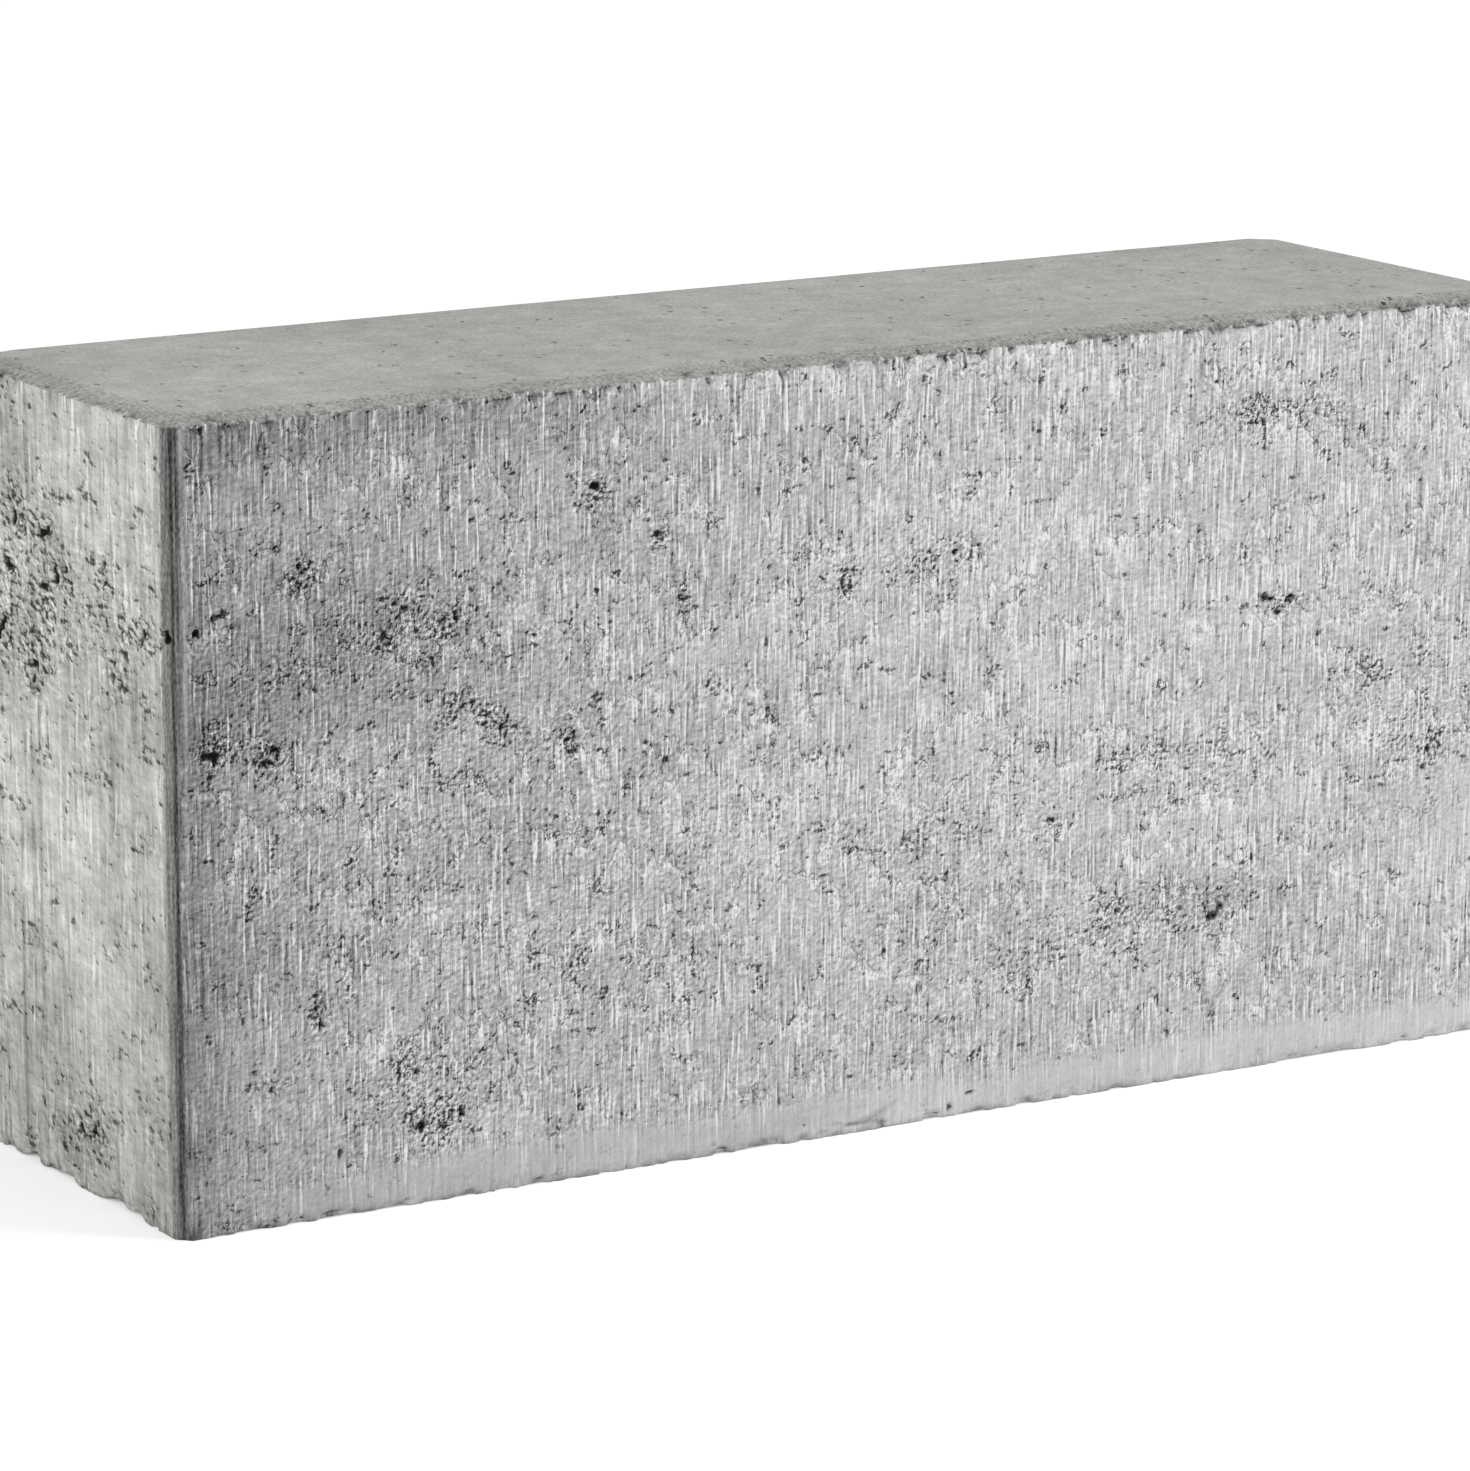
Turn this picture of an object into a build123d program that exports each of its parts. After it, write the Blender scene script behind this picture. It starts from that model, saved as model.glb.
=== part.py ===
from build123d import *

import os

# Curbstone: one block of vibro-pressed concrete, standing on its base as it is laid.
# Origin at the middle of the base, +X along the block, -Y towards the road, +Z up.
# All sizes are in millimetres.

# Driving dimensions
LENGTH = 500.0
WIDTH = 150.0
HEIGHT = 250.0
CORNER_CUT = 4.0  # leg of the 45 degree cut down each upright corner
BEVEL_RUN = 9.0  # how far the bevel round the top reaches in from each face
BEVEL_DROP = 2.6  # how far that bevel falls from the top to the faces
TOP_CORNER_CUT = 7.0  # leg of the 45 degree cut at each corner of the top face


def cut_rectangle(length, width, cut):
    """A rectangle centred on the origin, with its four corners cut at 45 degrees."""
    with BuildSketch(mode=Mode.PRIVATE) as outline:
        Rectangle(length, width)
        chamfer(outline.vertices(), cut)
    return outline.sketch


def make_bevel(lower_outline, upper_outline, bottom, top):
    """The flat-sided step between two outlines. Their sides are parallel, so each face is a plane."""
    step = loft([Pos(0, 0, bottom) * lower_outline, Pos(0, 0, top) * upper_outline], ruled=True)
    flat_faces = [Face(side.outer_wire()) for side in step.faces()]
    return Solid(Shell(flat_faces))


def make_curbstone():
    """The upright body, and the shallow bevel that leads from it to the smaller top face."""
    shoulder = HEIGHT - BEVEL_DROP
    body_outline = cut_rectangle(LENGTH, WIDTH, CORNER_CUT)
    top_outline = cut_rectangle(LENGTH - 2 * BEVEL_RUN, WIDTH - 2 * BEVEL_RUN, TOP_CORNER_CUT)
    body = extrude(body_outline, amount=shoulder)
    return body + make_bevel(body_outline, top_outline, shoulder, HEIGHT)


curbstone = make_curbstone()
curbstone.label = "curbstone"

os.makedirs("parts", exist_ok=True)
export_step(curbstone, "parts/curbstone.step")
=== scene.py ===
import itertools
import math

import bpy
import numpy as np
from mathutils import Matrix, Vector


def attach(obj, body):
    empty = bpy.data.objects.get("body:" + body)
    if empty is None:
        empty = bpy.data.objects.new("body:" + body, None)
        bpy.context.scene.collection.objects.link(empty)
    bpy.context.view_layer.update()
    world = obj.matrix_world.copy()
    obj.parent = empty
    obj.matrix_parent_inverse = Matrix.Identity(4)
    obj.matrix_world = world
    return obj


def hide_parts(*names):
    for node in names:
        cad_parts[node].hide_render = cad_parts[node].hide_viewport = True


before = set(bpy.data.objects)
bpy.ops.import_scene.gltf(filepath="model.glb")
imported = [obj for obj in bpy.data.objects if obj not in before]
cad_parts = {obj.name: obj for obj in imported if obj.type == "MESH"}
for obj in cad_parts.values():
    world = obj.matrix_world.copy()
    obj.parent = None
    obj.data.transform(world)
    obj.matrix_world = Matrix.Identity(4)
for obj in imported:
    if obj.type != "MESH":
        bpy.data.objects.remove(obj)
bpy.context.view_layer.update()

bl_info = {
    "name": "Curbstone",
    "version": (1, 0, 0),
    "blender": (4, 5, 0),
    "location": "View3D > Sidebar > Curbstone",
    "description": "Dresses a plain kerb block as dry-pressed concrete and sets it in a studio",
    "category": "Object",
}

NODE = "curbstone"
MM = 0.001
DISPLAY_GAMMA = 2.2
# Smaller than any real size on the block, in millimetres.
TINY = 0.01
# A face of the lattice smaller than this, in square millimetres, is folded flat.
FLAT_AREA = 0.005

# How far the copy of the grain that paints light and shade into the walls' grey is shifted along and up the
# face, towards the upper left where the painted light comes from, in millimetres.
PAINTED_LIGHT_SHIFT = (0.20, 0.25)
# How much coarser the grain of the ends is, along and up them.
END_COARSENESS = (2.2, 1.45)
# The least and most that a grey may be, and the least and most painted light and shade that the slope adds
# to it.
GREY_LIMITS = (0.12, 0.93)
PAINTED_SHADE_LIMITS = (-0.30, 0.24)
# How far down the bevel the top's finish ends and is full, as shares of the bevel's drop.
TOP_EDGE = (1.12, 0.94)
# Where a corner strip's finish ends and is full: the ways to both faces added up, in millimetres.
STRIP_EDGE = (6.2, 4.4)

# The marks that the mesh keeps for the finish; the tone holds painted shade and highlights as well as the
# concrete's own tones.
MARKS = ("void", "torn", "tone", "paste")

# The floor's half size, and the ways from the block where its glow starts and stops to change, in metres.
FLOOR_HALF = 40
GLOW_REACH = (0.4, 3.0)
# Lamps: name, place in metres and power in watts. Each is a disc of one size, in metres.
LAMPS = [("right", (1.6, -1.5, 1.5), 29), ("left", (-2.1, -0.5, 1.4), 22)]
LAMP_SIZE = 0.9
SENSOR_WIDTH = 36

# Sockets of a Mix node that blends colours: its two colours and its result.
MIX_FIRST, MIX_SECOND, MIX_RESULT = 6, 7, 2
# How far each seed moves a grain, in cells.
SEED_SHIFT = (17.3, 31.7)


def read_block(node):
    """The block's sizes in millimetres, measured on its CAD node."""
    points = np.array([vertex.co for vertex in node.data.vertices]) / MM
    half_length, half_width, height = points.max(axis=0)
    levels = np.unique(points[:, 2].round(3))
    top = points[points[:, 2] > height - TINY]
    foot = points[points[:, 2] < TINY]
    foot_front = foot[foot[:, 1] < TINY - half_width]
    top_front = top[top[:, 1] < top[:, 1].min() + TINY]
    return {
        "length": 2 * half_length,
        "width": 2 * half_width,
        "height": height,
        "corner_cut": half_length - foot_front[:, 0].max(),
        "bevel_run": half_length - top[:, 0].max(),
        "bevel_drop": height - levels[-2],
        "top_cut": top[:, 0].max() - top_front[:, 0].max(),
    }


BLOCK = read_block(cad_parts[NODE])

# Voids that show on the two faces towards the viewer, in millimetres: place along the face, height,
# half width, half height, and how deep the void goes as a share of the deepest.
FRONT_VOIDS = [
    (-246, 183, 9, 3.5, 0.8), (-218, 212, 6, 4, 0.7), (-206, 199, 6, 8, 0.9), (-232, 188, 4, 5, 0.55),
    (-237, 150, 5, 7, 1.0), (-219, 145, 4, 5, 1.0), (-224, 165, 8, 6, 0.4), (-172, 188, 10, 5, 0.65),
    (-158, 179, 7, 5, 0.65), (-182, 176, 8, 4, 0.4), (-154, 155, 8, 5, 0.6), (-141, 146, 6, 5, 0.7),
    (-116, 138, 7, 5, 0.7), (-105, 214, 6, 7, 1.0), (-84, 198, 4, 5, 0.9), (-75, 181, 2, 3.5, 1.0),
    (-16, 178, 3, 6, 1.0), (20, 184, 12, 3, 0.6), (87, 110, 4, 4, 0.8), (60, 92, 2.5, 2.5, 1.0),
    (140, 219, 7, 5, 0.65), (168, 218, 5, 4, 0.65), (150, 155, 12, 4.5, 1.0), (185, 157, 3, 5, 0.5),
    (186, 129, 7, 5, 1.0), (210, 100, 5, 6, 1.0), (212, 80, 3, 4, 0.9), (231, 99, 3, 5, 1.0),
    (85, 58, 9, 5, 0.5), (126, 53, 7, 4, 0.25), (172, 13, 6, 3, 0.35), (140, 17, 5, 4, 0.35),
    (-203, 65, 3, 8, 1.0), (-112, 65, 5, 7, 0.7), (-172, 44, 5, 5, 0.7), (-219, 44, 7, 3, 0.8),
    (-162, 27, 11, 7, 0.7), (-76, 48, 6, 5, 0.7), (45, 118, 8, 4, 0.4), (15, 96, 7, 5, 0.4),
]
LEFT_END_VOIDS = [
    (43, 166, 6, 8, 1.0), (20, 161, 8, 10, 1.0), (-29, 196, 4, 8, 1.0), (-55, 182, 10, 4, 1.0),
    (8, 216, 5, 4, 0.7), (41, 189, 7, 8, 1.0), (32, 203, 8, 8, 1.0), (-2, 191, 8, 6, 1.0),
    (12, 203, 7, 7, 1.0), (10, 181, 7, 6, 0.9), (-44, 178, 5, 5, 0.9), (-38, 166, 8, 4, 0.8),
    (-14, 184, 5, 6, 0.7), (-14, 19, 13, 6, 0.9), (47, 130, 4, 4, 0.6), (-37, 87, 5, 4, 0.6),
    (-59, 162, 5, 4, 0.5), (-66, 199, 5, 4, 0.5), (58, 205, 5, 7, 0.8), (62, 175, 4, 5, 0.8),
]

# Wider areas where the skin is torn, in the same way, and how torn they are.
FRONT_TORN = [
    (-180, 176, 48, 20, 0.5), (-228, 146, 24, 16, 0.45), (-140, 146, 40, 18, 0.45),
    (-205, 110, 45, 30, 0.35), (-110, 70, 60, 30, 0.35), (-165, 36, 40, 20, 0.5),
    (20, 90, 60, 30, 0.35), (100, 56, 60, 16, 0.5),
    (112, 105, 40, 16, 0.45), (150, 217, 40, 10, 0.5), (205, 110, 30, 40, 0.4), (-10, 182, 50, 14, 0.35),
    (-80, 110, 60, 30, 0.3), (40, 50, 80, 24, 0.3), (-165, 130, 100, 100, 0.3), (-226, 30, 40, 36, 0.3),
]
LEFT_END_TORN = [(22, 182, 36, 36, 0.5), (-40, 182, 34, 22, 0.4), (-14, 24, 26, 18, 0.4),
                 (-48, 40, 36, 60, 0.2)]

# Soft light and dark areas on the same faces: place along the face, height, half width, half height,
# and the change in grey.
FRONT_TONES = [
    (-250, 125, 60, 170, -0.135), (-244, 140, 8, 130, -0.06), (-185, 178, 34, 22, -0.06),
    (-226, 165, 22, 26, -0.06), (-163, 6, 40, 9, -0.05), (-60, 6, 32, 9, -0.04), (95, 6, 60, 9, -0.03),
    (-242, 35, 12, 45, -0.06), (-130, 140, 40, 30, -0.04), (-190, 244, 120, 11, -0.05),
    (-150, 95, 45, 22, -0.03), (-150, 215, 110, 50, -0.075), (-85, 60, 40, 25, -0.025),
    (100, 150, 130, 80, 0.03), (70, 115, 30, 35, 0.02),
    (235, 235, 30, 22, 0.03), (215, 75, 40, 30, 0.02), (110, 58, 45, 16, -0.045),
]
LEFT_END_TONES = [
    (20, 175, 30, 30, -0.05), (-45, 165, 25, 35, -0.04), (-50, 105, 22, 40, -0.05),
    (10, 110, 35, 30, 0.04), (0, 12, 80, 30, -0.08), (20, 40, 15, 60, -0.03), (-55, 225, 18, 20, 0.03),
    (33, 232, 20, 13, -0.06), (-64, 30, 16, 55, -0.06),
]

# Smooth patches of paste, given as the torn areas are.
FRONT_PASTE = [(222, 76, 30, 18, 0.7), (-228, 32, 34, 34, 0.45)]
LEFT_END_PASTE = [(-48, 50, 36, 60, 0.35)]

# Lines that the joints of the mould leave on the ends: place across the end, and the height they reach.
LEFT_END_LINES = [(31.6, 107), (17.6, 148)]
RIGHT_END_LINES = [(-24, 130), (38, 90)]
# Bits broken out of the base of the left end: place across it, half width and depth.
BASE_NOTCHES = [(30, 4, 2.8), (-29.5, 6, 2.4), (-44, 5, 1.4), (6, 7, 1.2)]
# The thin flake that lifts off the base of the front: its middle and its half sizes.
FLAKE_PLACE = (-20, 0)
FLAKE_SIZE = (18, 3.4)
# Holes in the bevel along the front: place along it, place across the block, and strength.
BEVEL_HOLES = [
    (-234, -71, 1.0), (-72, -72, 0.8), (-18, -73, 0.9), (76, -72, 0.9), (81, -73, 0.8), (137, -73, 0.9),
    (155, -72, 0.9), (190, -72, 1.1), (196, -73, 1.4), (203, -72, 1.6), (210, -73, 1.3),
]

# Ways from a face at which its own marks end and are full, in millimetres, and the same at the rim of
# an end.
FACE_REACH = (9, 3)
END_REACH = (12, 4)
# Places along the block where a mark starts and where it is full: the paste along the base, its paler part,
# the layer under the top, the flake's crack, the chipped edge under the bevel, and the painted highlight
# along it.
PASTE_START = (-236, -200)
PALE_PASTE_START = (-40, 60)
LAYER_FADE = (-40, -190)
CRACK_START = (-24, -12)
CHIPPED_START = (60, 150)
ARRIS_HIGHLIGHT_START = (-120, -40)
# Depth of the layer under the top, and spacing of the dragged plates in the mesh and in the finish.
LAYER_DEPTH = 11
PLATE_PITCH = 24
FINE_PLATE_PITCH = 19

# Random fields in the relief: the cell along, across and up the block in millimetres, and the seed.
FIELDS = {
    "stain": ((38, 38, 26), 15),
    "fine_stain": ((14, 14, 12), 16),
    "end_stain": ((9, 11, 13), 17),
    "crumb": ((1.9, 1.9, 2.1), 21),
    "stone": ((4.2, 4.2, 3.6), 22),
    "plate_wave": ((15, 15, 40), 31),
    "plate_edge": ((5, 5, 20), 32),
    "plate_teeth": ((2.2, 2.2, 9), 33),
    "plate_patch": ((34, 34, 30), 34),
    "paste_edge": ((30, 30, 30), 41),
    "layer_wave": ((14, 14, 900), 42),
    "layer_teeth": ((3.5, 3.5, 900), 43),
    "wall_bow": ((75, 75, 55), 51),
    "top_bow": ((40, 40, 40), 52),
    "arris_chip": ((2.4, 2.4, 40), 61),
    "arris_wear": ((45, 45, 45), 62),
    "base_break": ((6, 6, 6), 63),
    "base_run": ((30, 30, 30), 64),
    "base_darkening": ((3, 3, 2), 65),
    "base_crumb": ((2.2, 2.2, 2.2), 66),
    "flake_edge": ((4, 4, 3), 67),
    "flake_shade": ((2.5, 2.5, 2), 68),
}

# Grain in the finish: the cell along and up the face in millimetres, the seed and the detail.
GRAINS = {
    "thread": ((1.4, 18), 2, 0.0),
    "swell": ((2.6, 40), 3, 0.0),
    "drag": ((8, 17), 4, 0.0),
    "patch": ((15, 10), 5, 2.0),
    "crumb": ((1.4, 1.5), 6, 1.0),
    "smooth_crumb": ((1.4, 1.5), 6, 0.0),
    "lump": ((3.4, 3.0), 7, 0.0),
    "top_patch": ((12, 12), 8, 1.0),
    "sand": ((0.5, 0.55), 9, 0.0),
    "top_sand": ((1.0, 1.3), 10, 1.0),
    "group": ((8, 6.5), 12, 1.0),
    "fine_drag": ((2.2, 8), 13, 0.0),
    "top_streak": ((7, 3), 14, 0.0),
    "small_group": ((2.8, 2.6), 15, 0.0),
    "plate_wave": ((13, 30), 16, 0.0),
    "plate_edge": ((4.5, 13), 17, 0.0),
    "plate_teeth": ((1.6, 6), 18, 0.0),
    "plate_patch": ((26, 22), 19, 0.0),
    "ridge": ((1.1, 14), 20, 0.0),
    "strip_grain": ((0.8, 1.7), 21, 1.0),
    "strip_streak": ((1.0, 16), 22, 0.0),
    "top_blotch": ((2.2, 2.0), 24, 1.0),
    "end_band": ((3.2, 90), 25, 0.0),
    "fine_end_band": ((1.4, 40), 26, 0.0),
    "arris_teeth": ((1.7, 1.0), 27, 1.0),
    "top_speck": ((1.8, 1.9), 28, 1.0),
}
# Cells that each hold a hole or none: their size along and up the face, and the seed.
CELLS = {"pit": ((1.9, 2.0), 12), "pinhole": ((4.5, 7.0), 11)}


class CurbstoneShape(bpy.types.PropertyGroup):
    """Sizes of the cast block's relief."""

    mesh_step: bpy.props.FloatProperty(
        name="Mesh step", description="Spacing of the points that the relief is worked out on",
        default=1.0 * MM, min=0.5 * MM, unit="LENGTH")
    triangle_limit: bpy.props.IntProperty(
        name="Triangles", description="The mesh is thinned to about this many triangles",
        default=190000, min=1000)
    plate_depth: bpy.props.FloatProperty(
        name="Plate depth", description="Height of the torn upper edges that the mould drags up",
        default=0.7 * MM, unit="LENGTH")
    void_depth: bpy.props.FloatProperty(
        name="Void depth", description="Depth of the deepest voids between the stones",
        default=2.4 * MM, unit="LENGTH")
    base_wear: bpy.props.FloatProperty(
        name="Base wear", description="How far the edge of the base is broken back",
        default=1.6 * MM, unit="LENGTH")


class CurbstoneColours(bpy.types.PropertyGroup):
    """Greys of the concrete, as they show on a screen."""

    long_face_grey: bpy.props.FloatProperty(
        name="Long faces", description="Middle grey of the front and the back",
        default=0.762, min=0, max=1, subtype="FACTOR")
    end_grey: bpy.props.FloatProperty(
        name="Ends", description="Middle grey of the two ends",
        default=0.765, min=0, max=1, subtype="FACTOR")
    top_grey: bpy.props.FloatProperty(
        name="Top", description="Grey of the top face",
        default=0.654, min=0, max=1, subtype="FACTOR")
    # The bevel is darker than the top partly for its denser paste and partly as painted shade from its tilt
    # away from the light.
    bevel_paste_and_shade_grey: bpy.props.FloatProperty(
        name="Bevel", description="Grey of the bevel round the top",
        default=0.60, min=0, max=1, subtype="FACTOR")
    corner_grey: bpy.props.FloatProperty(
        name="Corners", description="Grey of the smooth strips down the upright corners",
        default=0.46, min=0, max=1, subtype="FACTOR")
    cool_tint: bpy.props.FloatVectorProperty(
        name="Cool tint", description="Tint of the long faces", default=(0.99, 1.0, 0.985), size=3,
        subtype="COLOR")
    warm_tint: bpy.props.FloatVectorProperty(
        name="Warm tint", description="Tint of the ends and the top", default=(1.0, 1.0, 0.945), size=3,
        subtype="COLOR")


class CurbstoneStage(bpy.types.PropertyGroup):
    """The studio round the block."""

    floor_colour: bpy.props.FloatVectorProperty(
        name="Floor", description="Colour of the floor",
        default=(0.85, 0.85, 0.85), size=3, subtype="COLOR")
    floor_glow: bpy.props.FloatProperty(
        name="Floor glow", description="What the camera sees added to the floor by the block",
        default=0.30, min=0, max=1)
    far_glow: bpy.props.FloatProperty(
        name="Far glow", description="What the camera sees added to the floor far behind the block",
        default=0.60, min=0, max=1)
    sky_level: bpy.props.FloatProperty(
        name="Sky", description="Even light from all round", default=0.54, min=0)
    camera_place: bpy.props.FloatVectorProperty(
        name="Camera", description="Where the camera stands", default=(-1.107, -1.8324, 0.5861), size=3,
        subtype="TRANSLATION", unit="LENGTH")
    camera_azimuth: bpy.props.FloatProperty(
        name="Camera turn", description="Turn of the camera about the upright axis",
        default=math.radians(-30.867), subtype="ANGLE")
    camera_drop: bpy.props.FloatProperty(
        name="Camera drop", description="How far the camera looks down", default=math.radians(12.453),
        subtype="ANGLE")
    camera_lens: bpy.props.FloatProperty(
        name="Lens", description="Focal length on a 36 mm sensor, in millimetres", default=165.57, min=10)


# Fields over the surface, worked out in millimetres

def ease(low, high, value):
    """Goes smoothly from 0 at low to 1 at high."""
    share = np.clip((value - low) / (high - low), 0, 1)
    return share * share * (3 - 2 * share)


def mottle(places, cell, seed):
    """Smooth random values from -1 to 1, that change over one cell."""
    table_size = 4096
    random = np.random.default_rng(seed)
    shuffle = random.permutation(table_size)
    level = random.uniform(-1, 1, table_size)
    at = places / np.array(cell) + random.uniform(100, 900, 3)
    low = np.floor(at).astype(np.int64)
    share = at - low
    share = share * share * share * (share * (share * 6 - 15) + 10)
    total = np.zeros(len(places))
    for corner in itertools.product((0, 1), repeat=3):
        i, j, k = ((low + corner) % table_size).T
        weight = np.where(corner, share, 1 - share).prod(axis=1)
        key = shuffle[(shuffle[(shuffle[i] + j) % table_size] + k) % table_size]
        total += weight * level[key]
    return total


def spots(along, up, near_face, table):
    """The strongest of a table's oval spots at each point, on the face that near_face marks."""
    found = np.zeros(len(along))
    for place, height, half_width, half_height, strength in table:
        away = ((along - place) / half_width) ** 2 + ((up - height) / half_height) ** 2
        found = np.maximum(found, strength * np.exp(-away ** 1.3))
    return found * near_face


def washes(along, up, near_face, table):
    """The sum of a table's soft light and dark areas at each point, on the face that near_face marks."""
    total = np.zeros(len(along))
    for place, height, half_width, half_height, change in table:
        away = ((along - place) / half_width) ** 2 + ((up - height) / half_height) ** 2
        total += change * np.exp(-away)
    return total * near_face


def scatter_spots(half_length, count, seed, half_sizes=(2.5, 9), strengths=(0.5, 1)):
    """A table of voids or torn areas for a face that the viewer doesn't see."""
    random = np.random.default_rng(seed)
    along = random.uniform(-half_length, half_length, count)
    up = random.uniform(8, BLOCK["height"] - 12, count)
    half_width = random.uniform(*half_sizes, count)
    half_height = 0.7 * random.uniform(*half_sizes, count)
    strength = random.uniform(*strengths, count)
    return list(zip(along, up, half_width, half_height, strength))


def scatter_washes(half_length, count, seed):
    """A table of soft areas for a face that the viewer doesn't see."""
    random = np.random.default_rng(seed)
    along = random.uniform(-half_length, half_length, count)
    up = random.uniform(0, BLOCK["height"], count)
    half_width = random.uniform(20, 60, count)
    half_height = random.uniform(15, 45, count)
    change = random.uniform(-0.07, 0.04, count)
    return list(zip(along, up, half_width, half_height, change))


def hump(value, middle, reach):
    """1 at the middle, falling off smoothly on both sides."""
    return np.exp(-((value - middle) / reach) ** 2)


class Skin:
    """The block's skin at each point: how far it stands out or is lifted, and what the finish reads."""

    def __init__(self, places, shape):
        half_length, half_width = BLOCK["length"] / 2, BLOCK["width"] / 2
        self.places = places
        self.shape = shape
        self.x, self.y, self.z = places.T
        self.from_front = self.y + half_width
        self.from_left = self.x + half_length
        self.to_end = half_length - np.abs(self.x)
        self.to_side = half_width - np.abs(self.y)
        self.shoulder = BLOCK["height"] - BLOCK["bevel_drop"]
        self.wall = 1 - ease(self.shoulder - 0.2, self.shoulder + 0.3, self.z)
        self.under = (self.z < TINY) & (self.to_end > TINY) & (self.to_side > TINY)
        self.front = ease(*FACE_REACH, self.from_front) * self.wall
        self.back = ease(*FACE_REACH, half_width - self.y) * self.wall
        self.left = ease(*FACE_REACH, self.from_left) * self.wall
        self.right = ease(*FACE_REACH, half_length - self.x) * self.wall
        self.read_tables(half_length, half_width)
        self.open_voids()
        self.spread_paste()
        self.drag_plates()
        self.darken_layer()
        self.stand_out()
        self.groove_corners()
        self.mark_ends()
        self.raise_flake()
        self.wear_arris()
        self.pierce_bevel()
        self.break_base()

    def field(self, name):
        return mottle(self.places, *FIELDS[name])

    def read_tables(self, half_length, half_width):
        """Voids, torn areas and tones: from the tables on the two near faces, and at random elsewhere."""
        sides = [
            (self.x, self.front, FRONT_VOIDS, FRONT_TORN, FRONT_TONES),
            (self.y, self.left, LEFT_END_VOIDS, LEFT_END_TORN, LEFT_END_TONES),
            (self.x, self.back, scatter_spots(half_length, count=42, seed=11),
             scatter_spots(half_length, count=14, seed=17, half_sizes=(20, 60), strengths=(0.25, 0.5)),
             scatter_washes(half_length, count=22, seed=13)),
            (self.y, self.right, scatter_spots(half_width, count=17, seed=12),
             scatter_spots(half_width, count=4, seed=18, half_sizes=(18, 36), strengths=(0.2, 0.4)),
             scatter_washes(half_width, count=8, seed=14)),
        ]
        self.cluster = np.zeros(len(self.x))
        self.torn = np.zeros(len(self.x))
        self.tone = 0.03 * self.field("stain") + 0.02 * self.field("fine_stain")
        for along, near, void_table, torn_table, tone_table in sides:
            self.cluster = np.maximum(self.cluster, spots(along, self.z, near, void_table))
            self.torn = np.maximum(self.torn, spots(along, self.z, near, torn_table))
            self.tone += washes(along, self.z, near, tone_table)
        self.tone += 0.05 * self.field("end_stain") * np.maximum(self.left, self.right)

    def open_voids(self):
        """Voids between the stones, in clusters, with torn skin round them."""
        self.crumb = self.field("crumb")
        loose = 0.75 * self.crumb + 0.5 * self.field("stone") + 0.80 * self.cluster + 0.12 * self.torn
        starts, full = 0.90, 0.35
        self.void = np.clip((loose - starts) / full, 0, 1) * self.wall
        self.torn = np.clip(self.torn + 0.8 * self.cluster, 0, 1)

    def spread_paste(self):
        """Smooth paste along the base of the long faces, and in patches."""
        top = 12.5 + 2.5 * self.field("paste_edge")
        self.paste = ease(top + 4, top - 3, self.z) * np.maximum(self.front, self.back)
        self.paste *= ease(*PASTE_START, self.x)
        self.tone += 0.04 * self.paste * self.front * ease(*PALE_PASTE_START, self.x)
        self.paste = np.maximum(self.paste, spots(self.x, self.z, self.front, FRONT_PASTE))
        self.paste = np.maximum(self.paste, spots(self.y, self.z, self.left, LEFT_END_PASTE))

    def drag_plates(self):
        """Plates that the mould drags up, with ragged upper edges, a painted highlight along them and
        painted shade in the torn strip above them.
        """
        phase = self.z / PLATE_PITCH + 0.9 * self.field("plate_wave") + 0.4 * self.field("plate_edge")
        phase += 0.2 * self.field("plate_teeth")
        self.rise = phase - np.floor(phase)
        shown = ease(-0.2, 0.6, self.field("plate_patch") + 0.5 * self.torn)
        self.plate = shown * self.wall * (1 - self.paste)
        lip = ease(0.22, 0.03, self.rise) * self.plate
        painted_crest_highlight = ease(0.72, 0.97, self.rise) * self.plate
        # Painted highlight on the plates' upper edges and painted shade in the torn strip above them.
        self.tone += 0.05 * painted_crest_highlight - 0.05 * lip
        self.torn = np.maximum(self.torn, 0.45 * lip)

    def darken_layer(self):
        """The darker layer under the top, with a ragged lower edge."""
        edge = self.shoulder - LAYER_DEPTH - 4 * self.field("layer_wave")
        edge -= 4 * self.field("layer_teeth")
        layer = self.front * ease(*LAYER_FADE, self.x) + self.back * ease(*LAYER_FADE, -self.x)
        self.tone -= 0.06 * layer * ease(-1.5, 1.0, self.z - edge)
        self.torn = np.maximum(self.torn, 0.5 * layer * hump(self.z, edge, 1.6))

    def stand_out(self):
        """How far the skin stands out, before its edges are worn."""
        self.out = 0.22 * self.field("wall_bow") * self.wall
        share = 0.25 * self.wall * (1 - self.paste) + 0.75 * self.plate
        self.out += self.shape.plate_depth / MM * (self.rise ** 3 - 0.3) * share
        self.out += 0.25 * self.paste
        self.out -= self.shape.void_depth / MM * self.void ** 1.2
        self.out += 0.06 * self.field("top_bow") * (1 - self.wall)

    def groove_corners(self):
        """A groove down the middle of each cut corner, and a second one beside it higher up."""
        across = self.to_end - self.to_side
        strip = ease(6.0, 4.2, self.to_end + self.to_side) * self.wall
        middle = 0.35 * hump(across, 0, 0.9)
        second = 0.25 * hump(across, 2, 0.8) * ease(120, 190, self.z)
        self.out -= strip * (middle + second)

    def mark_ends(self):
        """Mould lines on the ends, each with a pale edge, and bits broken out of the left base."""
        for near, lines in ((self.left, LEFT_END_LINES), (self.right, RIGHT_END_LINES)):
            for place, reach in lines:
                fade = ease(reach + 6, reach - 6, self.z)
                line = hump(self.y, place, 0.9) * near * fade
                self.out += 0.3 * line
                self.tone -= 0.13 * line
                self.tone += 0.06 * hump(self.y, place - 2.2, 1.0) * near * fade
        for place, half, depth in BASE_NOTCHES:
            self.out -= depth * hump(self.y, place, half) * hump(self.z, 0, 4.5) * self.left

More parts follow.
